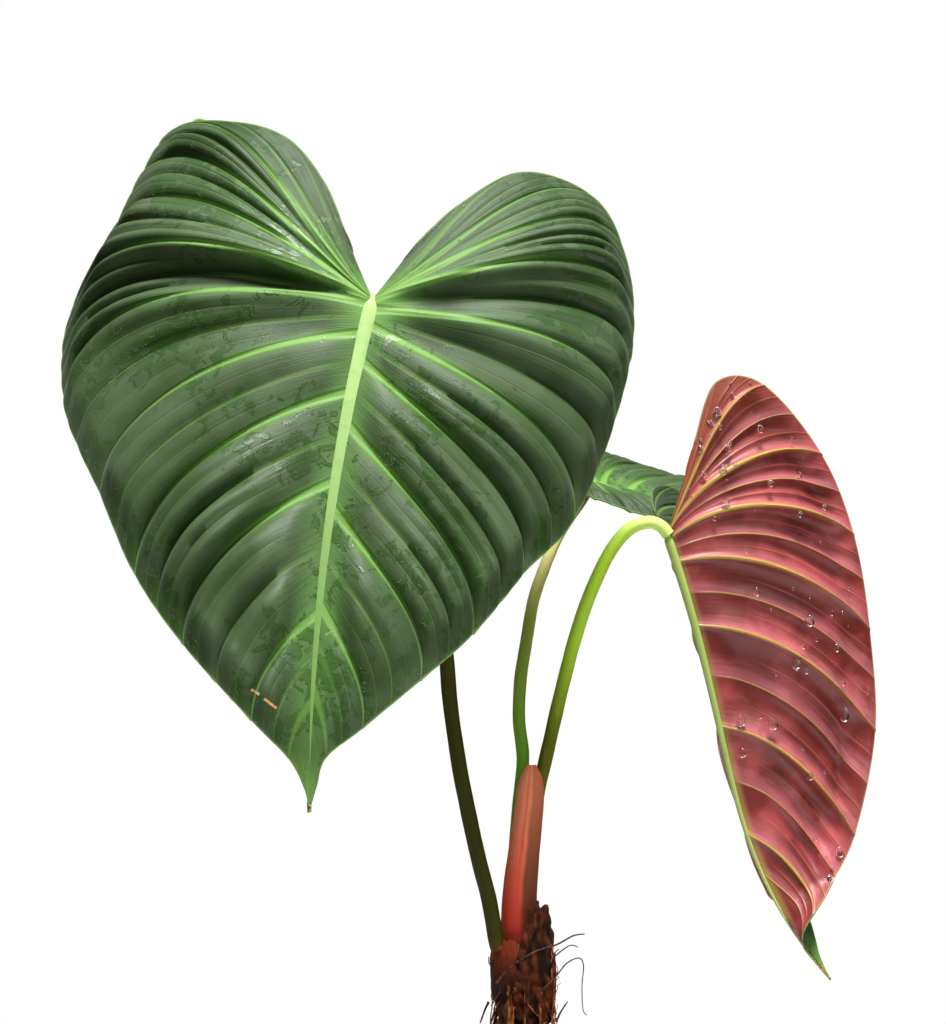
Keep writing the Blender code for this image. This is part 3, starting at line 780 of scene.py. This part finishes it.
STALK_FINISHES = {
    "front": stalk_finish(
        "dark_stalk", paint(96, 40, 8), paint(48, 50, 2), paint(74, 70, 6), (0.0, 0.10), (0.5, 0.8), paint(90, 96, 20)
    ),
    "right": stalk_finish(
        "bright_stalk", paint(76, 80, 6), paint(146, 184, 46), paint(186, 212, 112), (0.25, 0.5), (0.6, 0.9),
        paint(150, 180, 90),
    ),
    "back": stalk_finish(
        "pale_stalk", paint(92, 144, 30), paint(136, 158, 58), paint(168, 162, 96), (0.25, 0.5), (0.45, 0.66),
        paint(160, 176, 110),
    ),
}
STALK_RADII = {"front": 3.0, "right": 2.65, "back": 2.5}


def stalk_radius(width):
    """Thins up its length and spreads at its foot."""
    return lambda share: width * (1.06 - 0.10 * share + 0.25 * np.exp(-30 * share))


for key, line in STALKS.items():
    stalk = tube(f"{key}_stalk_skin", line, stalk_radius(STALK_RADII[key]), steps=8, around=24, lumps=0.12)
    slot_name = "dark_stalk" if key == "front" else "green_stalk"
    finished(stalk, (STALK_FINISHES[key],), slot_name, f"{key}_stalk")

# ======== Stem and sheaths ========
stem_low, stem_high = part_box("stem")
STEM_RADIUS = stem_high.x / MM


def lumpy(point, size, seed=0.0):
    return noise.fractal(Vector(point) / size + Vector((seed, seed * 1.7, seed * 0.6)), 1.0, 2.1, 4)


def bark_finish(name, dark, light, grain=(1, 1, 0.18), size=2.2, rough=0.85):
    """Dry bark: long fibres and blotches."""
    finish = Finish(name, Roughness=rough, Specular_IOR_Level=0.12)
    fibres = finish.cloud(finish.place(grain), size, detail=7, rough=0.65)
    blotch = finish.cloud(finish.place(), size * 4, detail=3)
    colour = finish.mix(dark, light, finish.step(fibres + blotch * 0.4, 0.56, 0.86))
    return finish.wears(Base_Color=colour, Normal=finish.bump(fibres, 1.0, 1.2 * MM))


STEM_FINISH = bark_finish("stem_bark", paint(36, 18, 8), paint(146, 104, 74))
HUSK_FINISH = bark_finish("torn_husk", paint(18, 7, 2), paint(92, 42, 18), grain=(1, 1, 0.4), size=4)
STRIP_FINISH = bark_finish("torn_strips", paint(60, 28, 12), paint(176, 112, 70))

count_up, count_round = 90, 72
heights = np.linspace(stem_low.z / MM, stem_high.z / MM + 2, count_up)
angles = np.linspace(0, 2 * pi, count_round + 1)
places = np.zeros((count_up, count_round + 1, 3))
for i, height in enumerate(heights):
    for j, angle in enumerate(angles):
        turn = angle % (2 * pi)
        lump = lumpy((6 * cos(turn), 6 * sin(turn), height * 0.35), 2.6)
        ring = 0.5 * sin(height * 0.55 + 0.7 * sin(turn * 2))
        radius = STEM_RADIUS - 0.6 + 1.1 * lump + ring
        radius *= 1 - 0.25 * max(0.0, (height - stem_high.z / MM + 4) / 6) ** 2
        places[i, j] = (radius * cos(turn), radius * sin(turn), height)
places[:, -1] = places[:, 0]
stem = grid("stem_bark_skin", places * MM)
close_up(stem)
finished(stem, (STEM_FINISH,), "stem_bark", "stem", smooth_angle=50)


def wrap(name, start, stop, low, high, shape, columns, rows, thickness, lumps, size, ragged=0.0, seed=0.0):
    """A sheet round a standing line; shape gives its middle, half width, half depth and how far round it goes."""
    places = np.zeros((rows + 1, columns + 1, 3))
    for i in range(rows + 1):
        along = i / rows
        middle_x, middle_y, wide, deep, top = shape(along)
        for j in range(columns + 1):
            across = j / columns
            angle = radians(start + (stop - start) * (0.5 + (across - 0.5) * top))
            tear = ragged * noise.noise(Vector((across * 5.3 + seed, seed, 1.0))) * along**2
            height = low + (high - low) * along + tear
            lump = lumps * noise.noise(Vector((angle * 4 + seed, height / size, seed)))
            places[i, j] = (
                middle_x + (wide + lump) * sin(angle),
                middle_y - (deep + lump) * cos(angle),
                height,
            )
    piece = grid(name, places * MM)
    attribute(piece, "round_share", np.tile(np.linspace(0, 1, columns + 1), rows + 1))
    attribute(piece, "up_share", np.repeat(np.linspace(0, 1, rows + 1), columns + 1))
    solid(piece, thickness * MM, offset=0.0)
    edit(piece, (bpy.ops.mesh.normals_make_consistent, {"inside": False}))
    return piece


def fresh_sheath_shape(along):
    """Narrows to a blunt tip and leans a little to the right."""
    point = max(0.0, (along - 0.84) / 0.16)
    lean = min(1.0, max(0.0, (along - 0.15) / 0.85))
    wide = (7.2 - 2.4 * along) * (1 - 0.6 * point**2)
    return 5.0 * lean**2 * (3 - 2 * lean) - 1.2, 1.2, wide, 6.4 - 1.6 * along, 1 - 0.55 * point**3


def left_sheath_shape(along):
    out = 11.4 + 1.0 * sin(pi * along)
    return 0, 0, out, out, 1 - 0.5 * along**3


def right_husk_shape(along):
    out = 11.6 + 1.3 * sin(pi * min(1.0, along * 1.2)) - 1.2 * along**4
    return 0, 0, out, out, 1 - 0.5 * along**3


def fresh_sheath_finish():
    """Rosy on the left, tan on the right with a red line between them, and darker at its foot."""
    finish = Finish("fresh_sheath", Roughness=0.45, Specular_IOR_Level=0.3)
    across, up = finish.attribute("round_share"), finish.attribute("up_share")
    fibre = finish.cloud(finish.place((1, 1, 0.06)), 0.7, detail=6, rough=0.6)
    blotch = finish.cloud(finish.place((1, 1, 0.4)), 5, detail=4)
    rosy = finish.mix(paint(178, 50, 34), paint(206, 124, 88), finish.step(up, 0.1, 0.95))
    tan = finish.mix(paint(92, 44, 12), paint(160, 88, 56), finish.step(up, 0.3, 1.0))
    colour = finish.mix(rosy, tan, finish.step(across + (blotch - 0.5) * 0.12, 0.50, 0.60))
    off_line = finish.maths("ABSOLUTE", across - 0.45)
    colour = finish.mix(colour, paint(176, 50, 36), (1 - finish.step(off_line, 0.0, 0.05)) * 0.6)
    colour = finish.mix(colour, paint(96, 26, 12), (1 - finish.step(up, 0.0, 0.16)) * 0.6)
    colour = finish.mix(colour, paint(120, 60, 34), finish.step(fibre, 0.5, 0.8) * 0.35)
    return finish.wears(Base_Color=colour, Normal=finish.bump(fibre, 0.4))


def left_sheath_finish():
    finish = Finish("old_sheath", Roughness=0.55, Specular_IOR_Level=0.2)
    fibre = finish.cloud(finish.place((1, 1, 0.1)), 0.8, detail=6)
    up = finish.attribute("up_share")
    colour = finish.mix(paint(44, 12, 3), paint(120, 46, 16), finish.step(up + fibre * 0.5, 0.5, 1.3))
    return finish.wears(Base_Color=colour, Normal=finish.bump(fibre, 0.6))


sheath_low, sheath_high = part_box("fresh_sheath")
fresh = wrap(
    "fresh_sheath_skin", -94, 90, sheath_low.z / MM, sheath_high.z / MM, fresh_sheath_shape, 44, 80, 0.8, 0.12, 9
)
finished(fresh, (fresh_sheath_finish(),), "red_sheath", "fresh_sheath", smooth_angle=50)
left_low, left_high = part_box("left_sheath")
left = wrap(
    "left_sheath_skin", -98, 12, left_low.z / MM, left_high.z / MM, left_sheath_shape, 40, 30, 0.7, 0.7, 6, 0.8, 2.0
)
finished(left, (left_sheath_finish(),), "red_sheath", "left_sheath", smooth_angle=50)
husk_low, husk_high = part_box("right_husk")
husk = wrap(
    "right_husk_skin", -16, 116, husk_low.z / MM, husk_high.z / MM + 1, right_husk_shape, 60, 50, 0.7, 1.3, 4, 5.0, 5.0
)
finished(husk, (HUSK_FINISH,), "dry_husk", "right_husk", smooth_angle=50)

# ---- torn strips of old husk round the stem ----
HUSK_STRIPS = 46
STRIP_ROWS, STRIP_COLUMNS = 13, 4
STRIP_STAND_OFF = 2.6
dice = random.Random(7)
strips = []
for index in range(HUSK_STRIPS):
    bearing = dice.uniform(0, 2 * pi)
    foot = dice.uniform(124, 147)
    rise = dice.uniform(8, 20)
    slant = dice.uniform(-0.9, 0.9)
    wide = dice.uniform(0.8, 3.2)
    places = np.zeros((STRIP_ROWS, STRIP_COLUMNS, 3))
    for i in range(STRIP_ROWS):
        share = i / (STRIP_ROWS - 1)
        angle = bearing + slant * share
        flare = 4.0 * max(0.0, share - 0.6)
        out = STEM_RADIUS + STRIP_STAND_OFF + dice.uniform(0, 0.3) + flare * dice.uniform(0.3, 1.6)
        for j in range(STRIP_COLUMNS):
            spread = (j / (STRIP_COLUMNS - 1) - 0.5) * wide * (1 - 0.8 * share) / out
            places[i, j] = (out * cos(angle + spread), out * sin(angle + spread), foot + rise * share)
    strip = grid(f"husk_strip_{index}", places * MM)
    solid(strip, 0.25 * MM)
    strips.append(strip)
finished(joined("husk_strips", strips), (STRIP_FINISH,), "dry_husk", smooth_angle=50)

# ======== Roots and dry fibres ========
STRANDS = {
    "root_long": (
        0.5,
        [
            (-10.5, -16, 152), (-5, -16, 158.3), (4, -16, 164.2), (13.5, -14.5, 167.3), (20, -13, 170.5),
            (24.5, -12, 171),
        ],
    ),
    "root_right": (0.45, [(13.5, -3, 134.5), (15.5, -2, 138.5), (18.2, -1, 142.3)]),
    "root_left": (0.5, [(-13.4, -3, 142.6), (-15, -3, 139), (-16.8, -4, 134.2)]),
    "root_back": (0.5, [(4, 12, 150), (7, 15, 142), (10, 17, 132.5)]),
    "fibre_curled": (
        0.3,
        [
            (8, -12.5, 149), (13.5, -6, 153.5), (18, 0, 157.6), (22.8, 1, 159.4), (24.6, 1, 156.5), (24, 0, 148),
            (24.4, 0, 139), (26, 0, 136.8),
        ],
    ),
    "fibre_short": (0.3, [(11.5, 5, 158), (19, 9, 163), (23, 12, 162)]),
}
ROOT_FINISH = bark_finish("root_bark", paint(30, 18, 10), paint(96, 66, 44), grain=(1, 1, 1), size=1.2)


def strand_radius(radius):
    return lambda share: radius * (1.1 - 0.6 * share)


for key, (radius, line) in STRANDS.items():
    strand = tube(f"{key}_skin", line, strand_radius(radius), steps=10, around=10, lumps=0.08, size=2)
    finished(strand, (ROOT_FINISH,), "root", key)

# ======== Pot and mix ========
pot_low, pot_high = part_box("pot")
mix_low, mix_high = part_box("potting_mix")
POT_TOP = pot_high.z / MM
POT_RADIUS = pot_high.x / MM


def turned_places(profile, around=96):
    """A profile of radius and height turned about the vertical."""
    angles = np.linspace(0, 2 * pi, around + 1)
    profile = np.array(profile, float)
    places = np.zeros((len(profile), around + 1, 3))
    places[..., 0] = profile[:, :1] * np.cos(angles)
    places[..., 1] = profile[:, :1] * np.sin(angles)
    places[..., 2] = profile[:, 1:]
    return places


def rounded(profile, steps=5):
    """The profile with points added along each straight, so that its edges stay crisp when it is smoothed."""
    return [
        tuple(np.array(start) + (np.array(stop) - np.array(start)) * i / steps)
        for start, stop in zip(profile, profile[1:])
        for i in range(steps)
    ] + [profile[-1]]


def clay_finish():
    """Unglazed clay: fine grain, faint throwing lines and a pale bloom in patches."""
    finish = Finish("clay", Roughness=0.88)
    grain = finish.cloud(finish.place(), 0.9, detail=5)
    lines = finish.cloud(finish.place((0.05, 0.05, 1)), 1.3, detail=3)
    bloom = finish.cloud(finish.place(), 24, detail=6, rough=0.6)
    colour = finish.mix(paint(172, 98, 66), paint(196, 120, 84), finish.step(bloom, 0.35, 0.65))
    colour = finish.mix(colour, paint(214, 180, 156), finish.step(bloom + grain * 0.25, 0.66, 0.86) * 0.5)
    colour = finish.mix(colour, paint(132, 70, 46), finish.step(grain, 0.62, 0.8) * 0.35)
    height = grain * 0.3 + lines * 0.5
    return finish.wears(Base_Color=colour, Normal=finish.bump(height, 0.35))


band = POT_TOP - 24
pot_profile = [
    (0, 8), (40, 8), (43.4, 10), (POT_RADIUS - 5.3, POT_TOP - 2), (POT_RADIUS - 4, POT_TOP - 0.5),
    (POT_RADIUS - 2.6, POT_TOP),
    (POT_RADIUS - 1.2, POT_TOP - 0.3), (POT_RADIUS - 0.2, POT_TOP - 1.5), (POT_RADIUS - 1, band + 2),
    (POT_RADIUS - 1.6, band + 0.6), (POT_RADIUS - 3, band), (POT_RADIUS - 3.6, band - 1),
    (48.6, 2.2), (48, 0.8), (46.4, 0), (0, 0),
]
pot = grid("clay_pot", turned_places(rounded(pot_profile, 4)) * MM)
close_up(pot, caps=False)
DRAIN_HOLES, DRAIN_RADIUS, DRAIN_FROM_MIDDLE = 4, 4.5 * MM, 24 * MM
for hole in range(DRAIN_HOLES):
    bearing = 2 * pi * (hole + 0.5) / DRAIN_HOLES
    place = (DRAIN_FROM_MIDDLE * cos(bearing), DRAIN_FROM_MIDDLE * sin(bearing), 4 * MM)
    deselect()
    bpy.ops.mesh.primitive_cylinder_add(vertices=32, radius=DRAIN_RADIUS, depth=30 * MM, location=place)
    drill = bpy.context.object
    bore = pot.modifiers.new("drain", "BOOLEAN")
    bore.object = drill
    bore.solver = "EXACT"
    apply_modifiers(pot)
    bpy.data.objects.remove(drill)
finished(pot, (clay_finish(),), "clay", "pot", smooth_angle=35)

rings, spokes = 70, 200
places = np.zeros((rings + 4, spokes + 1, 3))
wall = 63.0
MIX_FALL = 15.5
for i in range(rings):
    radius = wall * i / (rings - 1)
    for j in range(spokes):
        angle = 2 * pi * j / spokes
        x, y = radius * cos(angle), radius * sin(angle)
        height = mix_high.z / MM - MIX_FALL * (radius / wall) ** 2.2
        lump = 1.6 * lumpy((x, y, 0), 9) + 1.0 * abs(noise.noise(Vector((x, y, 3)) / 2.6))
        places[i, j] = (x, y, height + lump * (1 - 0.6 * (radius / wall) ** 6) - 1.2)
for i, (radius, height) in enumerate(((61.5, 105), (45, 14), (42, 8.6), (0, 8.6))):
    for j in range(spokes):
        angle = 2 * pi * j / spokes
        places[rings + i, j] = (radius * cos(angle), radius * sin(angle), height)
places[:, -1] = places[:, 0]
MIX_FINISH = Finish("bark_mix", Roughness=0.95)
crumb = MIX_FINISH.cloud(MIX_FINISH.place(), 2.2, detail=8, rough=0.7)
patch = MIX_FINISH.cloud(MIX_FINISH.place(), 14, detail=4)
mix_colour = MIX_FINISH.mix(paint(34, 24, 16), paint(96, 70, 48), MIX_FINISH.step(crumb + patch * 0.3, 0.5, 0.9))
MIX_FINISH.wears(Base_Color=mix_colour, Normal=MIX_FINISH.bump(crumb, 1.0, 2 * MM))
mix = grid("mix_surface", places * MM)
close_up(mix, caps=False)
finished(mix, (MIX_FINISH.material,), "bark_mix", "potting_mix", smooth_angle=70)


def mix_height(x, y):
    """How high the mix stands at a place."""
    radius = min(1.0, (x * x + y * y) ** 0.5 / wall)
    return mix_high.z / MM - MIX_FALL * radius**2.2 - 1.0


# ---- bark ----
CHIP_FINISH = bark_finish("bark_chip", paint(52, 34, 22), paint(138, 104, 76), grain=(1, 0.2, 1), size=1.8)


def bark_flake(name, place, turn, size, seed, cuts=3):
    """A worn flake: a cut cube, squashed, its vertices moved by noise."""
    deselect()
    bpy.ops.mesh.primitive_cube_add(size=1)
    flake = bpy.context.object
    flake.name = name
    edit(flake, (bpy.ops.mesh.subdivide, {"number_cuts": cuts, "smoothness": 0.6}))
    rotation = Euler(turn).to_matrix()
    for vertex in flake.data.vertices:
        point = Vector(part * length for part, length in zip(vertex.co, size))
        shift = noise.noise_vector(point / 4.5 + Vector((seed, seed * 2.0, 0))) * min(size) * 0.42
        vertex.co = (rotation @ (point + shift) + Vector(place)) * MM
    return flake


for index in range(8):
    low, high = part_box(f"bark_chip_{index + 1}")
    middle = (low + high) / 2 / MM
    middle.z = mix_height(middle.x, middle.y) - 0.4
    size = (high - low) / MM
    shrunk = (size.x * 0.8, size.y * 0.8, size.z * 0.5)
    flake = bark_flake(f"bark_flake_{index + 1}", middle, (0, 0, 0.3 * index), shrunk, 3.7 * index, cuts=6)
    finished(flake, (CHIP_FINISH,), "bark_chip", f"bark_chip_{index + 1}", smooth_angle=40)

bits = []
BARK_BITS = 150
for index in range(BARK_BITS):
    radius = 61 * dice.uniform(0.04, 0.93) ** 0.6
    angle = dice.uniform(0, 2 * pi)
    x, y = radius * cos(angle), radius * sin(angle)
    if radius < 14:
        continue
    length = dice.uniform(3, 9)
    size = (length, length * dice.uniform(0.35, 0.8), dice.uniform(1.2, 2.6))
    turn = (dice.uniform(-0.5, 0.5), dice.uniform(-0.5, 0.5), dice.uniform(0, 6.3))
    bits.append(bark_flake(f"bit_{index}", (x, y, mix_height(x, y) - 0.3), turn, size, index * 1.3, cuts=1))
finished(joined("bark_bits", bits), (CHIP_FINISH,), "bark_chip", smooth_angle=40)

# ======== Water drops ========
WATER = Finish("water", Base_Color=(1, 1, 1, 1), Roughness=0.02, IOR=1.33, Transmission_Weight=1.0).material


def drops(name, leaf, side, below, seeds):
    """Beads of water that sit on a blade; each has a row and share on it, a size and a stretch down the leaf."""
    made = []
    for index, (row, share, size, stretch) in enumerate(seeds):
        flat = flat_point(leaf, side, np.array(row, float), np.array(share, float))
        normal = upper_normal(leaf, side, flat) * (-1 if below else 1)
        at = in_room(leaf, shaped(leaf, side, flat) + normal * (0.75 if below else 0.3))
        outward = Vector(in_room(leaf._replace(base=(0, 0, 0)), normal)).normalized()
        deselect()
        bpy.ops.mesh.primitive_uv_sphere_add(segments=14, ring_count=8, radius=1)
        bead = bpy.context.object
        down = Vector((0, 0, -1))
        down = (down - outward * down.dot(outward)).normalized()
        side_way = outward.cross(down)
        for vertex in bead.data.vertices:
            x, y, z = vertex.co
            pull = 1 + 0.25 * y
            vertex.co = Vector(at) + size * MM * (
                side_way * (x * pull) + down * (y * stretch) + outward * (max(z, -0.25) * 0.62)
            )
        made.append(bead)
    return joined(name, made)


def scatter(count, rows, shares, sizes, seed):
    """Places for drops over a blade, most of them small."""
    throw = random.Random(seed)
    return [
        (
            throw.uniform(*rows),
            throw.uniform(*shares),
            sizes[0] + (sizes[1] - sizes[0]) * throw.random() ** 3,
            throw.uniform(1.0, 1.35),
        )
        for _ in range(count)
    ]


BIG_DROPS = [
    (5.4, 0.3, 1.7, 1.3), (5.5, 0.55, 2.2, 1.2), (5.6, 0.7, 1.6, 1.2), (6.1, 0.45, 2.0, 1.1), (6.2, 0.75, 2.2, 1.5),
    (6.9, 0.12, 2.0, 1.3), (6.8, 0.3, 2.4, 1.2), (7.2, 0.1, 1.9, 1.3), (7.3, 0.93, 1.7, 1.4), (3.8, 0.3, 1.8, 1.1),
    (2.6, 0.7, 1.6, 1.2), (2.9, 0.4, 1.7, 1.4),
]
RED_LEAF_DROPS = BIG_DROPS + scatter(70, (1.2, 7.6), (0.2, 0.96), (0.5, 1.6), 11)
FRONT_LEAF_DROPS = scatter(7, (3, 10), (0.2, 0.9), (0.4, 0.9), 5)
BACK_LEAF_DROPS = scatter(6, (2, 6), (0.5, 0.9), (0.7, 1.5), 3)
for name, leaf, side, below, beads in (
    ("drops_red_leaf", RIGHT_LEAF, 0, True, RED_LEAF_DROPS),
    ("drops_front_leaf", FRONT_LEAF, 1, False, FRONT_LEAF_DROPS),
    ("drops_back_leaf", BACK_LEAF, 0, False, BACK_LEAF_DROPS),
):
    finished(drops(name, leaf, side, below, beads), (WATER,), None)

# ======== Room: floor, light and camera ========
deselect()
bpy.ops.mesh.primitive_circle_add(vertices=128, radius=0.62, fill_type="NGON", location=(0, 0, -0.0005))
floor = bpy.context.object
floor.name = "floor"
FLOOR = Finish("floor", Roughness=0.9, Base_Color=(0.86, 0.86, 0.86, 1))
here = FLOOR.node("ShaderNodeTexCoord", out="Object")
far = FLOOR.vector("LENGTH", here, out="Value")
FLOOR.wears(Alpha=1 - FLOOR.step(far, 0.30, 0.60))
floor.data.materials.append(FLOOR.material)

world = bpy.data.worlds.new("studio")
bpy.context.scene.world = world
world.use_nodes = True
sky = world.node_tree
sky.nodes.clear()
out = sky.nodes.new("ShaderNodeOutputWorld")
mixer = sky.nodes.new("ShaderNodeMixShader")
path = sky.nodes.new("ShaderNodeLightPath")
backdrop = sky.nodes.new("ShaderNodeBackground")
backdrop.inputs["Color"].default_value = (1, 1, 1, 1)
glow = sky.nodes.new("ShaderNodeBackground")
glow.inputs["Strength"].default_value = 0.6
where = sky.nodes.new("ShaderNodeTexCoord")
parts = sky.nodes.new("ShaderNodeSeparateXYZ")
ramp = sky.nodes.new("ShaderNodeValToRGB")
ramp.color_ramp.elements[0].position = 0.48
ramp.color_ramp.elements[0].color = (0.03, 0.03, 0.03, 1)
ramp.color_ramp.elements[1].position = 0.95
ramp.color_ramp.elements[1].color = (1, 1, 1, 1)
lift = sky.nodes.new("ShaderNodeMath")
lift.operation = "MULTIPLY_ADD"
lift.inputs[1].default_value = 0.5
lift.inputs[2].default_value = 0.5
sky.links.new(where.outputs["Generated"], parts.inputs[0])
sky.links.new(parts.outputs["Z"], lift.inputs[0])
sky.links.new(lift.outputs[0], ramp.inputs[0])
sky.links.new(ramp.outputs[0], glow.inputs["Color"])
sky.links.new(path.outputs["Is Camera Ray"], mixer.inputs[0])
sky.links.new(glow.outputs[0], mixer.inputs[1])
sky.links.new(backdrop.outputs[0], mixer.inputs[2])
sky.links.new(mixer.outputs[0], out.inputs[0])


def soft_light(name, place, aim, size, power):
    data = bpy.data.lights.new(name, "AREA")
    data.shape = "DISK"
    data.size = size
    data.energy = power
    lamp = bpy.data.objects.new(name, data)
    lamp.location = place
    lamp.rotation_euler = (Vector(aim) - Vector(place)).to_track_quat("-Z", "Y").to_euler()
    bpy.context.scene.collection.objects.link(lamp)
    return lamp


soft_light("key", (0.05, -0.75, 2.75), (0, 0, 0.33), 0.85, 185)
soft_light("right", (1.1, -1.1, 0.8), (0.05, 0, 0.35), 0.8, 7)
soft_light("low_fill", (0.1, -1.6, 0.1), (0, 0, 0.15), 0.9, 1.6)

CAMERA_PLACE = (-0.0196, -1.10, 0.338)
CAMERA_LENS = 96.68
camera_data = bpy.data.cameras.new("camera")
camera_data.sensor_width = 36
camera_data.lens = CAMERA_LENS
camera_data.clip_start = 0.01
camera = bpy.data.objects.new("camera", camera_data)
camera.location = CAMERA_PLACE
camera.rotation_euler = (radians(90), 0, 0)
bpy.context.scene.collection.objects.link(camera)
bpy.context.scene.camera = camera
bpy.context.scene.view_settings.view_transform = "Standard"
